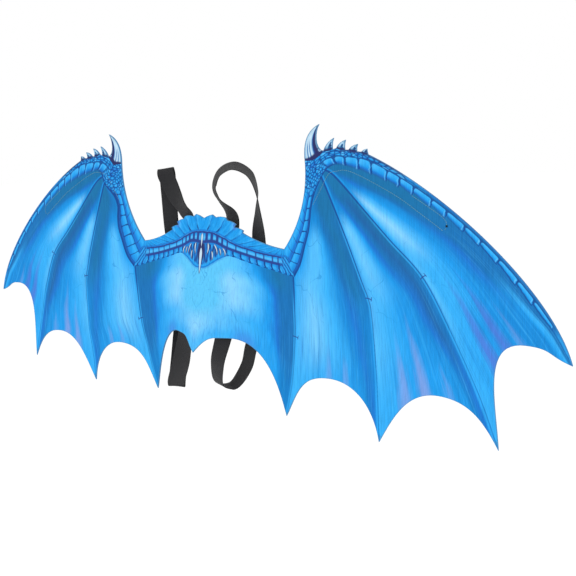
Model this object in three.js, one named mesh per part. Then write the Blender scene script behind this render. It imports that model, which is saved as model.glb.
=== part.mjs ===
import * as THREE from 'three';

// Costume wings: one cut sheet of printed felt with two closed rings of flat elastic on its back.
// Sizes are in millimetres. X runs along the span, Y from the printed face to the wearer, Z up.
// The origin lies on the centre line in the plane of the wings' back, where the wearer's back rests.

// Felt sheet
const feltThickness = 2;
const edgeStep = 5; // longest chord along the cut edge
const foldTolerance = 0.25; // how far a facet may stand off the fold

// Soft fold of the body, which bulges forward between the wings and deepens downwards
const foldTop = 135; // height where the crest leaves the plane of the wings
const foldSlope = 0.222; // how far the crest comes forward for each millimetre down
const foldReach = 103; // spread to each side, past the rounded crest
const foldRoundness = 15; // radius of the crest
const foldPower = 1.5; // how the flanks run out into the wings

// Elastic
const strapWidth = 25;
const strapThickness = 1.5;
const strapGap = 0.6; // clearance to the felt where the strap is sewn on
const strapSteps = 6; // sections between two rows of a strap table

// Cut edge of the right half, from the middle of the ruff round to the lowest point of the body.
// Angles are in degrees from +X towards +Z, reaches are the handle lengths of the curves.
const ruffNotch = { x: 0, z: 96 };

const ruffLeaves = [
  { tipX: 14, tipZ: 101, backX: 19.5, backZ: 97.5, bow: 0.6 },
  { tipX: 35.5, tipZ: 97.2, backX: 38, backZ: 93.6, bow: 1.2 },
  { tipX: 51, tipZ: 89, backX: 48.5, backZ: 85, bow: 1 },
  { tipX: 62.5, tipZ: 80.8, backX: 61, backZ: 78, bow: 0.8 },
];

const neckToHorn = [
  { x: 61, z: 78, outAngle: -27, outReach: 20 },
  { x: 121.5, z: 59, inAngle: 174, inReach: 22, outAngle: 52, outReach: 40 },
  { x: 156, z: 169, inAngle: -86, inReach: 40, outAngle: 95, outReach: 19 },
  { x: 177, z: 211.3, inAngle: 202, inReach: 20, outAngle: 233, outReach: 11.5 },
  { x: 182, z: 180, inAngle: 171, inReach: 12 },
];

const armSpikes = [
  { rootX: 182, rootZ: 180, tipX: 196.5, tipZ: 194.7, backX: 194.6, backZ: 181.5, bow: 2 },
  { rootX: 199.6, rootZ: 183, tipX: 212.3, tipZ: 192.1, backX: 211.2, backZ: 180.8, bow: 1.6 },
  { rootX: 216, rootZ: 180.8, tipX: 228, tipZ: 186.9, backX: 226.8, backZ: 178.6, bow: 1.3 },
  { rootX: 232.6, rootZ: 178, tipX: 240, tipZ: 181.3, backX: 241.4, backZ: 174.9, bow: 0.8 },
];

const armToBody = [
  { x: 241.4, z: 174.9, outAngle: -24, outReach: 103 },
  { x: 472.5, z: -44, inAngle: 106, inReach: 77, outAngle: 163, outReach: 27 },
  { x: 424, z: -28, inAngle: 0, inReach: 29, outAngle: 180, outReach: 48 },
  { x: 399, z: -153.5, inAngle: 94, inReach: 53, outAngle: 119, outReach: 38 },
  { x: 328, z: -101.5, inAngle: 0, inReach: 36, outAngle: 180, outReach: 40 },
  { x: 252.5, z: -174.5, inAngle: 62, inReach: 36, outAngle: 99, outReach: 42 },
  { x: 186, z: -103.5, inAngle: 0, inReach: 37, outAngle: 180, outReach: 45 },
  { x: 116.5, z: -166.5, inAngle: 63, inReach: 39, outAngle: 107, outReach: 20 },
  { x: 42, z: -61.5, inAngle: 0, inReach: 55, outAngle: 180, outReach: 20 },
  { x: 0, z: -81, inAngle: 49, inReach: 32 },
];

// Straps, a row for each place along the ring: its middle, and the turn and tilt of the band's width.
// Rows with no depth lie on the back of the felt and follow its slope.
const rightStrap = [
  { x: 39.5, z: -40 },
  { x: 40, z: -20 },
  { x: 40.5, z: 0 },
  { x: 41, z: 20 },
  { x: 41.5, z: 40 },
  { x: 41.5, z: 60 },
  { x: 41, z: 76 },
  { x: 36, y: 3, z: 96, turn: -12, tilt: 0 },
  { x: 14, y: 7, z: 119, turn: -45, tilt: 0 },
  { x: 3.5, y: 11, z: 136, turn: -40, tilt: 0 },
  { x: 11, y: 13, z: 154, turn: -46, tilt: -16 },
  { x: 36, y: 13, z: 163, turn: -57, tilt: -20 },
  { x: 60, y: 14, z: 153, turn: -66, tilt: -14 },
  { x: 71, y: 14, z: 131, turn: -62, tilt: 0 },
  { x: 72, y: 14, z: 105, turn: -40, tilt: 0 },
  { x: 71, y: 15, z: 65, turn: -10, tilt: 0 },
  { x: 74, y: 20, z: 0, turn: -10, tilt: 0 },
  { x: 65, y: 14, z: -50, turn: -12, tilt: 0 },
  { x: 57, y: 6, z: -80, turn: -14, tilt: 0 },
  { x: 48, y: 4, z: -110, turn: -18, tilt: 0 },
  { x: 28.5, y: -4, z: -137, turn: -24, tilt: 0 },
  { x: 17, y: -17, z: -133, turn: -22, tilt: 0 },
  { x: 21, y: -25, z: -102, turn: -8, tilt: 0 },
  { x: 32, y: -24, z: -66, turn: 6, tilt: 0 },
];

const leftStrap = [
  { x: -37, z: -40 },
  { x: -38, z: -20 },
  { x: -38.5, z: 0 },
  { x: -39, z: 20 },
  { x: -38.5, z: 40 },
  { x: -38, z: 60 },
  { x: -39, z: 76 },
  { x: -36, y: 0, z: 92, turn: -16, tilt: 0 },
  { x: -47, y: 2, z: 105, turn: -16, tilt: 0 },
  { x: -58, y: 2, z: 121, turn: -2, tilt: 0 },
  { x: -67.5, y: 2.5, z: 138, turn: 8, tilt: 4 },
  { x: -76.5, y: 3, z: 155, turn: 16, tilt: 8 },
  { x: -78, y: 6, z: 161, turn: 16, tilt: 8 },
  { x: -79, y: 9.5, z: 155, turn: 16, tilt: 8 },
  { x: -80.5, y: 12, z: 125, turn: 12, tilt: 4 },
  { x: -82, y: 15, z: 70, turn: 8, tilt: 0 },
  { x: -82, y: 24, z: 0, turn: 0, tilt: 0 },
  { x: -76, y: 16, z: -60, turn: 12, tilt: 0 },
  { x: -73.5, y: 8, z: -92, turn: 26, tilt: 0 },
  { x: -76.5, y: -1.5, z: -149, turn: 33, tilt: -8 },
  { x: -75, y: -4.5, z: -155, turn: 33, tilt: -8 },
  { x: -73, y: -8, z: -149, turn: 33, tilt: -8 },
  { x: -48, y: -19, z: -104, turn: 16, tilt: -4 },
  { x: -36, y: -23, z: -66, turn: -6, tilt: 0 },
];

const degree = Math.PI / 180;

// Depth of the felt's back at a place on the sheet: zero on the wings, forward on the body.
function backDepth(x, z) {
  const crest = -foldSlope * Math.max(0, foldTop - z);
  const aside = (Math.hypot(x, foldRoundness) - foldRoundness) / foldReach;
  const flank = (1 - Math.min(1, aside)) ** foldPower;
  return crest * flank;
}

// Slope of the felt's back along X, as an angle in degrees.
function backTurn(x, z) {
  const span = 1;
  const rise = backDepth(x + span, z) - backDepth(x - span, z);
  return Math.atan2(rise, 2 * span) / degree;
}

function handle(stop, angle, reach) {
  const x = stop.x + reach * Math.cos(angle * degree);
  const z = stop.z + reach * Math.sin(angle * degree);
  return new THREE.Vector2(x, z);
}

// Runs the path through the stops of a table as smooth curves.
function sweepThrough(path, stops) {
  for (let i = 1; i < stops.length; i += 1) {
    const leave = handle(stops[i - 1], stops[i - 1].outAngle, stops[i - 1].outReach);
    const arrive = handle(stops[i], stops[i].inAngle, stops[i].inReach);
    path.bezierCurveTo(leave.x, leave.y, arrive.x, arrive.y, stops[i].x, stops[i].z);
  }
}

// Runs the path to a place along a shallow arch that bows to the left of its way.
function archTo(path, x, z, bow) {
  const start = path.currentPoint;
  const length = Math.hypot(x - start.x, z - start.y);
  const middleX = (start.x + x) / 2 - (bow * 2 * (z - start.y)) / length;
  const middleZ = (start.y + z) / 2 + (bow * 2 * (x - start.x)) / length;
  path.quadraticCurveTo(middleX, middleZ, x, z);
}

function rightEdge() {
  const path = new THREE.Path();
  path.moveTo(ruffNotch.x, ruffNotch.z);
  for (const leaf of ruffLeaves) {
    archTo(path, leaf.tipX, leaf.tipZ, leaf.bow);
    path.lineTo(leaf.backX, leaf.backZ);
  }
  sweepThrough(path, neckToHorn);
  for (const spike of armSpikes) {
    if (path.currentPoint.x < spike.rootX) {
      path.lineTo(spike.rootX, spike.rootZ);
    }
    archTo(path, spike.tipX, spike.tipZ, spike.bow);
    archTo(path, spike.backX, spike.backZ, -spike.bow / 2);
  }
  sweepThrough(path, armToBody);
  return path;
}

// Points along a path, spaced evenly on each of its curves.
function stepAlong(path) {
  const points = [path.getPoint(0)];
  for (const curve of path.curves) {
    const steps = Math.ceil(curve.getLength() / edgeStep);
    points.push(...curve.getSpacedPoints(steps).slice(1));
  }
  return points;
}

// Whole outline, counter-clockwise as seen from the printed side.
function panelOutline() {
  const right = stepAlong(rightEdge());
  const left = right.slice(1, -1).map((point) => new THREE.Vector2(-point.x, point.y));
  return [...right.reverse(), ...left];
}

// A chord across the sheet stands off where the fold is more than the tolerance away from it.
function standsOff(from, to) {
  const startDepth = backDepth(from.x, from.y);
  const endDepth = backDepth(to.x, to.y);
  return [0.25, 0.5, 0.75].some((share) => {
    const place = from.clone().lerp(to, share);
    const chordDepth = THREE.MathUtils.lerp(startDepth, endDepth, share);
    return Math.abs(backDepth(place.x, place.y) - chordDepth) > foldTolerance;
  });
}

// Cuts a triangle at the middles of its edges, where these are given.
function cutTriangle([a, b, c], ab, bc, ca) {
  if (ab && bc && ca) {
    return [[a, ab, ca], [ab, b, bc], [ca, bc, c], [ab, bc, ca]];
  }
  if (!ab && !bc && !ca) {
    return [[a, b, c]];
  }
  if (!ab || ca) {
    return cutTriangle([b, c, a], bc, ca, ab);
  }
  if (!bc) {
    return [[a, ab, c], [ab, b, c]];
  }
  return [[a, ab, c], [ab, b, bc], [ab, bc, c]];
}

// Tells whether two triangles with the shared edge a-b are thinner than with the edge c-d instead.
function needsTurning(a, b, c, d) {
  const atC = [a.clone().sub(c), b.clone().sub(c)];
  const atD = [b.clone().sub(d), a.clone().sub(d)];
  const cosines = [atC[0].dot(atC[1]), atD[0].dot(atD[1])];
  const sines = [atC[0].cross(atC[1]), atD[0].cross(atD[1])];
  return cosines[0] * sines[1] + sines[0] * cosines[1] < -1;
}

// Turns shared edges until no triangle is needlessly thin.
function evenOut(points, triangles) {
  const owners = new Map();
  const claim = (index) => {
    const [a, b, c] = triangles[index];
    owners.set(`${a}-${b}`, index);
    owners.set(`${b}-${c}`, index);
    owners.set(`${c}-${a}`, index);
  };
  triangles.forEach((triangle, index) => claim(index));
  const waiting = [...owners.keys()];
  while (waiting.length > 0) {
    const [a, b] = waiting.pop().split('-').map(Number);
    const one = owners.get(`${a}-${b}`);
    const two = owners.get(`${b}-${a}`);
    if (one === undefined || two === undefined) {
      continue;
    }
    const c = triangles[one].find((corner) => corner !== a && corner !== b);
    const d = triangles[two].find((corner) => corner !== a && corner !== b);
    if (needsTurning(points[a], points[b], points[c], points[d])) {
      owners.delete(`${a}-${b}`);
      owners.delete(`${b}-${a}`);
      triangles[one] = [a, d, c];
      triangles[two] = [d, b, c];
      claim(one);
      claim(two);
      waiting.push(`${a}-${d}`, `${d}-${b}`, `${b}-${c}`, `${c}-${a}`);
    }
  }
}

// Halves edges until every facet lies close to the fold, and adds the new points to the list.
function fitToFold(points, triangles) {
  evenOut(points, triangles);
  const middles = new Map();
  const middleOf = (a, b) => {
    const key = `${Math.min(a, b)}-${Math.max(a, b)}`;
    if (!middles.has(key)) {
      const split = standsOff(points[a], points[b]);
      const count = split ? points.push(points[a].clone().lerp(points[b], 0.5)) : 0;
      middles.set(key, split ? count - 1 : 0);
    }
    return middles.get(key);
  };
  const pieces = triangles.flatMap((triangle) => {
    const [a, b, c] = triangle;
    return cutTriangle(triangle, middleOf(a, b), middleOf(b, c), middleOf(c, a));
  });
  return pieces.length === triangles.length ? pieces : fitToFold(points, pieces);
}

// Edges that belong to one triangle only, in that triangle's direction.
function rimEdges(triangles) {
  const open = new Map();
  for (const [a, b, c] of triangles) {
    for (const [from, to] of [[a, b], [b, c], [c, a]]) {
      if (!open.delete(`${to}-${from}`)) {
        open.set(`${from}-${to}`, [from, to]);
      }
    }
  }
  return [...open.values()];
}

function closedGeometry(corners, faces) {
  const geometry = new THREE.BufferGeometry();
  geometry.setAttribute('position', new THREE.Float32BufferAttribute(corners.flat(), 3));
  geometry.setIndex(faces.flat());
  geometry.computeVertexNormals();
  return geometry;
}

// The felt sheet: printed face in front, back one thickness behind it, and the cut rim between them.
function panelGeometry() {
  const points = panelOutline();
  const fans = THREE.ShapeUtils.triangulateShape(points, []);
  const front = fitToFold(points, fans);
  const count = points.length;
  const back = points.map((point) => [point.x, backDepth(point.x, point.y), point.y]);
  const face = back.map(([x, y, z]) => [x, y - feltThickness, z]);
  const behind = front.map(([a, b, c]) => [a + count, c + count, b + count]);
  const rim = rimEdges(front).flatMap(([a, b]) => [[b, a, a + count], [b, a + count, b + count]]);
  return closedGeometry([...face, ...back], [...front, ...behind, ...rim]);
}

// Completes a row of a strap table that lies on the felt.
function restOnFelt(row) {
  if (row.y !== undefined) {
    return row;
  }
  const turn = backTurn(row.x, row.z);
  const standOff = (strapGap + strapThickness / 2) / Math.cos(turn * degree);
  return { ...row, y: backDepth(row.x, row.z) + standOff, turn, tilt: 0 };
}

// A closed ring of flat band through the rows of a strap table.
function strapGeometry(table) {
  const rows = table.map(restOnFelt);
  const middles = rows.map((row) => new THREE.Vector3(row.x, row.y, row.z));
  const turns = rows.map((row) => new THREE.Vector3(row.turn, row.tilt, 0));
  const centreLine = new THREE.CatmullRomCurve3(middles, true);
  const bandTurn = new THREE.CatmullRomCurve3(turns, true);
  const sections = rows.length * strapSteps;
  const corners = [];
  const faces = [];
  for (let i = 0; i < sections; i += 1) {
    const middle = centreLine.getPoint(i / sections);
    const along = centreLine.getTangent(i / sections);
    const { x: turn, y: tilt } = bandTurn.getPoint(i / sections);
    const across = new THREE.Vector3().setFromSphericalCoords(1, (90 - tilt) * degree, (90 + turn) * degree);
    const width = new THREE.Vector3(across.x, -across.z, across.y);
    width.addScaledVector(along, -width.dot(along)).normalize();
    const through = new THREE.Vector3().crossVectors(along, width);
    for (const [aside, out] of [[-1, -1], [1, -1], [1, 1], [-1, 1]]) {
      const corner = middle.clone();
      corner.addScaledVector(width, (aside * strapWidth) / 2);
      corner.addScaledVector(through, (out * strapThickness) / 2);
      corners.push(corner.toArray());
    }
    for (let side = 0; side < 4; side += 1) {
      const here = 4 * i;
      const next = 4 * ((i + 1) % sections);
      const after = (side + 1) % 4;
      faces.push([here + side, here + after, next + after]);
      faces.push([here + side, next + after, next + side]);
    }
  }
  return closedGeometry(corners, faces);
}

const felt = new THREE.MeshStandardMaterial({ color: 0x2f9fe8, roughness: 0.95, metalness: 0 });
const elastic = new THREE.MeshStandardMaterial({ color: 0x26262a, roughness: 0.85, metalness: 0 });

const wingPanel = new THREE.Mesh(panelGeometry(), felt);
wingPanel.name = 'wing_panel';

const strapRight = new THREE.Mesh(strapGeometry(rightStrap), elastic);
strapRight.name = 'strap_right';

const strapLeft = new THREE.Mesh(strapGeometry(leftStrap), elastic.clone());
strapLeft.name = 'strap_left';

const wings = new THREE.Group();
wings.add(wingPanel, strapRight, strapLeft);

export default wings;
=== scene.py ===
# Printed felt dragon wings on elastic shoulder loops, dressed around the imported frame
import math

import bmesh
import bpy
import numpy as np
from mathutils import Matrix, Vector
from mathutils.geometry import delaunay_2d_cdt
from mathutils.kdtree import KDTree


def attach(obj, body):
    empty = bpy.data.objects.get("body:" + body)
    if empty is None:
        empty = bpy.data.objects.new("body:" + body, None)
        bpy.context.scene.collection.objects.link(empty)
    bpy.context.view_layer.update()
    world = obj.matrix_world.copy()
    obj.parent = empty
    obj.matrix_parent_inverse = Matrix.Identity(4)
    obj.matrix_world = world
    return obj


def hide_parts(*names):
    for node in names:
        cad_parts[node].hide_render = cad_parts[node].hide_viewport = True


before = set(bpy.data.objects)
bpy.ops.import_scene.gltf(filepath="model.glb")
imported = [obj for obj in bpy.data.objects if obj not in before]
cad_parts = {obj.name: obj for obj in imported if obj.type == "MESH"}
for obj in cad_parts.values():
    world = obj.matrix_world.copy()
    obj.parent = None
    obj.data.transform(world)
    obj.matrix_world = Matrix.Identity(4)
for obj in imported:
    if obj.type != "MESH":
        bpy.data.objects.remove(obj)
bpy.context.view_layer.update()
bpy.ops.object.select_all(action="DESELECT")
mm = 0.001  # the sizes below are in millimetres


# view, light and floor

studio = {
    "cameraPlace": (608, -733.7, 191),
    "cameraTurn": 33.39,  # degrees to the left of straight on
    "cameraDip": 11.72,
    "cameraRoll": -1.95,
    "lens": 43.75,
    "floorDrop": 620,
    "floorSize": 30000,
    "floorGlow": 0.04,  # keeps the paper white
    "skyStrength": 1.0,
    "keyPower": 4,
    "fillPower": 2,
}


def setCamera():
    turn = Matrix.Rotation(math.radians(studio["cameraTurn"]), 4, "Z")
    dip = Matrix.Rotation(math.radians(90 - studio["cameraDip"]), 4, "X")
    roll = Matrix.Rotation(math.radians(studio["cameraRoll"]), 4, "Z")
    bpy.ops.object.camera_add()
    camera = bpy.context.object
    camera.name = "photo_view"
    camera.data.lens = studio["lens"]
    camera.data.clip_end = 100
    place = Matrix.Translation(Vector(studio["cameraPlace"]) * mm)
    camera.matrix_world = place @ turn @ dip @ roll
    bpy.context.scene.camera = camera


def addSoftbox(name, place, power, side):
    bpy.ops.object.light_add(type="AREA", location=Vector(place) * mm)
    lamp = bpy.context.object
    lamp.name = name
    lamp.data.energy = power
    lamp.data.size = side * mm
    lamp.rotation_euler = (-lamp.location).to_track_quat("-Z", "Y").to_euler()


def setStage():
    bpy.ops.mesh.primitive_plane_add(size=studio["floorSize"] * mm)
    floor = bpy.context.object
    floor.name = "floor"
    floor.data.transform(Matrix.Translation((0, 0, -studio["floorDrop"] * mm)))
    startMaterial("floor_white")
    paperGrain = noise(objectPlace(), 18, detail=3)
    finishMaterial(mixInk(paperGrain, "fbfbfb", "ffffff"), roughness=0.9)
    bench["tree"].nodes["Principled BSDF"].inputs["Emission Color"].default_value = (1, 1, 1, 1)
    bench["tree"].nodes["Principled BSDF"].inputs["Emission Strength"].default_value = studio["floorGlow"]
    floor.data.materials.append(bench["material"])
    sky = bpy.data.worlds.new("studio_sky")
    sky.use_nodes = True
    sky.node_tree.nodes["Background"].inputs["Color"].default_value = (1, 1, 1, 1)
    sky.node_tree.nodes["Background"].inputs["Strength"].default_value = studio["skyStrength"]
    bpy.context.scene.world = sky
    addSoftbox("key", (-900, -1900, 1500), studio["keyPower"], 1600)
    addSoftbox("fill", (1700, -1200, 500), studio["fillPower"], 1400)
    addSoftbox("behind", (500, 1900, 900), studio["fillPower"], 1600)
    bpy.context.scene.view_settings.view_transform = "Standard"
    print("camera, floor and lights set")


# node desk: wires that add, multiply and so on by making the Math nodes

bench = {"material": None, "tree": None}


class Wire:
    def __init__(self, socket):
        self.socket = socket

    def __add__(self, other):
        return maths("ADD", self, other)

    def __sub__(self, other):
        return maths("SUBTRACT", self, other)

    def __rsub__(self, other):
        return maths("SUBTRACT", other, self)

    def __mul__(self, other):
        return maths("MULTIPLY", self, other)

    def __truediv__(self, other):
        return maths("DIVIDE", self, other)

    def __abs__(self):
        return maths("ABSOLUTE", self)

    __radd__ = __add__
    __rmul__ = __mul__


def startMaterial(name):
    material = bpy.data.materials.new(name)
    material.use_nodes = True
    bench["material"] = material
    bench["tree"] = material.node_tree


def addNode(kind, **settings):
    made = bench["tree"].nodes.new(kind)
    for setting, value in settings.items():
        setattr(made, setting, value)
    return made


def plug(socket, value):
    if isinstance(value, Wire):
        bench["tree"].links.new(value.socket, socket)
    else:
        socket.default_value = tint(value) if isinstance(value, str) else value


def maths(operation, *values):
    made = addNode("ShaderNodeMath", operation=operation)
    for socket, value in zip(made.inputs, values):
        plug(socket, value)
    return Wire(made.outputs[0])


def smaller(first, second, softness):
    return maths("SMOOTH_MIN", first, second, softness)


def fade(value, start, end):
    # 0 before start, 1 past end, smooth between; start may be the larger one
    made = addNode("ShaderNodeMapRange", interpolation_type="SMOOTHSTEP")
    plug(made.inputs["Value"], value)
    plug(made.inputs["From Min"], start)
    plug(made.inputs["From Max"], end)
    return Wire(made.outputs["Result"])


def tint(name):
    # the colour of a named ink or of a hex text
    text = inks.get(name, name)
    parts = [int(text[i:i + 2], 16) / 255 for i in (0, 2, 4)]
    return (*[c / 12.92 if c <= 0.04045 else ((c + 0.055) / 1.055) ** 2.4 for c in parts], 1)


def mixInk(share, under, over, blend="MIX"):
    made = addNode("ShaderNodeMix", data_type="RGBA", blend_type=blend)
    plug(made.inputs[0], share)
    plug(made.inputs[6], under)
    plug(made.inputs[7], over)
    return Wire(made.outputs[2])


def ramp(value, stops):
    made = addNode("ShaderNodeValToRGB")
    places = made.color_ramp.elements
    while len(places) < len(stops):
        places.new(1)
    for place, (position, name) in zip(places, stops):
        place.position = position
        place.color = tint(name)
    plug(made.inputs["Fac"], value)
    return Wire(made.outputs["Color"])


def readMark(name):
    return Wire(addNode("ShaderNodeAttribute", attribute_name=name).outputs["Fac"])


def objectPlace():
    return Wire(addNode("ShaderNodeTexCoord").outputs["Object"])


def splitPlace(vector):
    made = addNode("ShaderNodeSeparateXYZ")
    plug(made.inputs[0], vector)
    return [Wire(socket) for socket in made.outputs]


def joinPlace(x, y, z=0.0):
    made = addNode("ShaderNodeCombineXYZ")
    for socket, value in zip(made.inputs, (x, y, z)):
        plug(socket, value)
    return Wire(made.outputs[0])


def stretchPlace(vector, scale):
    made = addNode("ShaderNodeMapping")
    plug(made.inputs["Vector"], vector)
    made.inputs["Scale"].default_value = scale
    return Wire(made.outputs[0])


def noise(vector, scale, detail=2.0, roughness=0.5):
    made = addNode("ShaderNodeTexNoise")
    plug(made.inputs["Vector"], vector)
    plug(made.inputs["Scale"], scale)
    plug(made.inputs["Detail"], detail)
    plug(made.inputs["Roughness"], roughness)
    return Wire(made.outputs["Fac"])


def cells(vector, feature, jitter=1.0):
    made = addNode("ShaderNodeTexVoronoi", voronoi_dimensions="2D", feature=feature)
    plug(made.inputs["Vector"], vector)
    plug(made.inputs["Scale"], 1.0)
    plug(made.inputs["Randomness"], jitter)
    return made


def cellGap(vector, jitter=1.0):
    return Wire(cells(vector, "DISTANCE_TO_EDGE", jitter).outputs["Distance"])


def finishMaterial(ink, roughness, height=None, bumpDepth=0.3, sheen=0.0):
    shader = bench["tree"].nodes["Principled BSDF"]
    plug(shader.inputs["Base Color"], ink)
    plug(shader.inputs["Roughness"], roughness)
    shader.inputs["Specular IOR Level"].default_value = 0.1
    shader.inputs["Sheen Weight"].default_value = sheen
    shader.inputs["Sheen Roughness"].default_value = 0.6
    if height is not None:
        bump = addNode("ShaderNodeBump")
        bump.inputs["Strength"].default_value = 1.0
        bump.inputs["Distance"].default_value = bumpDepth * mm
        plug(bump.inputs["Height"], height)
        bench["tree"].links.new(bump.outputs[0], shader.inputs["Normal"])
    return bench["material"]


# felt panel: outline from the frame, fold, and the lines that the print follows

wingFold = {"top": 135, "slope": 0.222, "reach": 103, "roundness": 15, "power": 1.5}

panel = {
    "thickness": 2,
    "coarseStep": 3.3,  # mesh spacing in the membranes
    "fineStep": 1.75,  # and in the scaly parts
    "fineMargin": 5,
    "wave": 0.7,
    "waveLength": 210,
    "waveStart": 140,
}

# Stops on the right half, x and z; the left half mirrors them
printLines = {
    "armBorder": [(136, 24), (146, 41), (153, 63), (159, 82), (162, 98), (164, 113), (170, 132), (181, 152),
                  (189, 160.5), (200, 163.5), (218, 159.5), (243, 151), (279, 136), (313, 117), (355, 89),
                  (393, 55), (432, 12), (451, -9), (466, -33), (472.5, -44)],
    "rib2": [(182, 158), (193, 153), (210, 137), (233, 113), (267, 78), (308, 37), (340, -19), (375, -91),
             (399, -153.5)],
    "rib3": [(179, 148), (189, 126), (209, 80), (231, 25), (239, 6), (244, -18), (250, -96),
             (252.5, -174.5)],
    "rib4": [(134, 24), (134.5, -5), (134, -54), (128, -114), (116.5, -166.5)],
    "ruffLine": [(0, 79), (15, 78), (30, 73), (51, 63), (69, 58), (92, 52.5), (120, 49), (130, 48.5)],
    "bandLine": [(0, 30.5), (8, 31.5), (15, 35), (26, 41.5), (37, 46.5), (46, 46.5), (70, 39.5), (102, 31),
                 (136, 24)],
}

# where the plates of the two rows under the ruff part, as x
bandPartings = {
    "upper": (-7.5, 7.5, 15.5, 24, 31.5, 39, 51.5, 67.5, 80, 91.5, 104, 112, 119, 123, 127, 131, 140),
    "lower": (0, 37, 46, 57, 69.5, 80, 91, 101, 112, 121, 128, 140),
}

# how far the print of the left wing lies further out and down, away from its rim
leftShift = {"out": 17, "down": 9, "margin": 45, "span": (80, 190), "heights": (-120, 30), "lowest": 0.4}

# share of each bay, from its outer side, that lies in shadow, from the wrist to the hem
shadowTable = [
    {"reach": 0.0, "bays": (0.7, 0.72, 0.8), "body": 0.4},
    {"reach": 0.1, "bays": (0.58, 0.66, 0.78), "body": 0.34},
    {"reach": 0.2, "bays": (0.46, 0.54, 0.64), "body": 0.29},
    {"reach": 0.3, "bays": (0.39, 0.46, 0.51), "body": 0.26},
    {"reach": 0.4, "bays": (0.33, 0.4, 0.41), "body": 0.245},
    {"reach": 0.55, "bays": (0.28, 0.34, 0.31), "body": 0.23},
    {"reach": 0.7, "bays": (0.27, 0.3, 0.25), "body": 0.22},
    {"reach": 0.85, "bays": (0.2, 0.16, 0.18), "body": 0.2},
    {"reach": 1.0, "bays": (0.1, 0.1, 0.12), "body": 0.17},
]

corners = {
    "neck": (121.5, 59),
    "hornRoot": (156, 169),
    "hornTip": (177, 211.3),
    "spikesEnd": (241.4, 174.9),
    "tip": (472.5, -44),
    "bottom": (0, -81),
    "wrist": (183.6, 152),
    "elbow": (136, 24),
}

# horn first, then the spikes along the arm
hornTable = [
    {"root": (156, 169), "tip": (177, 211.3), "back": (182, 180), "sag": 4},
    {"root": (182, 180), "tip": (196.5, 194.7), "back": (194.6, 181.5), "sag": 1},
    {"root": (199.6, 183), "tip": (212.3, 192.1), "back": (211.2, 180.8), "sag": 1},
    {"root": (216, 180.8), "tip": (228, 186.9), "back": (226.8, 178.6), "sag": 1},
    {"root": (232.6, 178), "tip": (240, 181.3), "back": (241.4, 174.9), "sag": 0.6},
]

# where the leaves of the ruff part, x at the foot and x at the edge
leafTable = [
    {"foot": -4, "edge": -9},
    {"foot": 6, "edge": 14},
    {"foot": 19.5, "edge": 34.5},
    {"foot": 31.5, "edge": 48.5},
    {"foot": 40.5, "edge": 61},
    {"foot": 50, "edge": 80},
    {"foot": 61, "edge": 93},
    {"foot": 76, "edge": 105},
    {"foot": 93, "edge": 113},
    {"foot": 106, "edge": 116},
    {"foot": 116, "edge": 118},
    {"foot": 122.5, "edge": 120},
    {"foot": 128, "edge": 121.5},
]


def backDepth(x, z):
    crest = -wingFold["slope"] * np.maximum(0, wingFold["top"] - z)
    away = (np.hypot(x, wingFold["roundness"]) - wingFold["roundness"]) / wingFold["reach"]
    return crest * (1 - np.minimum(1, away)) ** wingFold["power"]


def smoothRun(stops, step=3.0):
    stops = np.array(stops, float)
    guides = np.vstack([2 * stops[0] - stops[1], stops, 2 * stops[-1] - stops[-2]])
    run = []
    for a, b, c, d in zip(guides, guides[1:], guides[2:], guides[3:]):
        t = np.linspace(0, 1, max(2, round(np.linalg.norm(c - b) / step)), endpoint=False)[:, None]
        bend = (2 * a - 5 * b + 4 * c - d) / 2
        twist = (3 * b - a - 3 * c + d) / 2
        run.append(b + (c - a) / 2 * t + bend * t**2 + twist * t**3)
    return np.vstack([*run, stops[-1:]])


def alongAndSide(run, places):
    # how far along the run each place lies, and how far to its left; both ends go on straight
    nearest = np.full(len(places), np.inf)
    along = np.zeros(len(places))
    side = np.zeros(len(places))
    start = 0.0
    last = len(run) - 2
    for number, (a, b) in enumerate(zip(run, run[1:])):
        way = b - a
        length = np.hypot(*way)
        share = (places - a) @ way / length**2
        share = np.clip(share, -np.inf if number == 0 else 0, np.inf if number == last else 1)
        off = places - a - share[:, None] * way
        gap = np.hypot(off[:, 0], off[:, 1])
        closer = gap < nearest
        nearest[closer] = gap[closer]
        along[closer] = (start + share * length)[closer]
        side[closer] = np.copysign(gap, way[0] * off[:, 1] - way[1] * off[:, 0])[closer]
        start += length
    return along, side


def sideOf(run, places):
    return alongAndSide(run, places)[1]


def cutLoop():
    # the rim of the panel's printed side, as one loop of places
    shape = bmesh.new()
    shape.from_mesh(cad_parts["wing_panel"].data)
    bmesh.ops.remove_doubles(shape, verts=shape.verts, dist=0.01 * mm)
    shape.normal_update()
    rim = [e for e in shape.edges if sum(f.normal.y < -0.5 for f in e.link_faces) == 1]
    follow = {}
    for edge in rim:
        a, b = edge.verts
        follow.setdefault(a, []).append(b)
        follow.setdefault(b, []).append(a)
    start = min(follow, key=lambda v: (abs(v.co.x) > 0.01 * mm, -v.co.z))
    loop = [start, max(follow[start], key=lambda v: v.co.x)]
    while loop[-1] is not start:
        here, there = follow[loop[-1]]
        loop.append(there if here is loop[-2] else here)
    places = np.array([(v.co.x, v.co.z) for v in loop[:-1]]) / mm
    shape.free()
    return places


def insideLoop(loop, places):
    inside = np.zeros(len(places), bool)
    for a, b in zip(loop, np.roll(loop, -1, axis=0)):
        crosses = (a[1] > places[:, 1]) != (b[1] > places[:, 1])
        at = a[0] + (places[:, 1] - a[1]) * (b[0] - a[0]) / (b[1] - a[1] if b[1] != a[1] else 1)
        inside ^= crosses & (places[:, 0] < at)
    return inside


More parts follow.
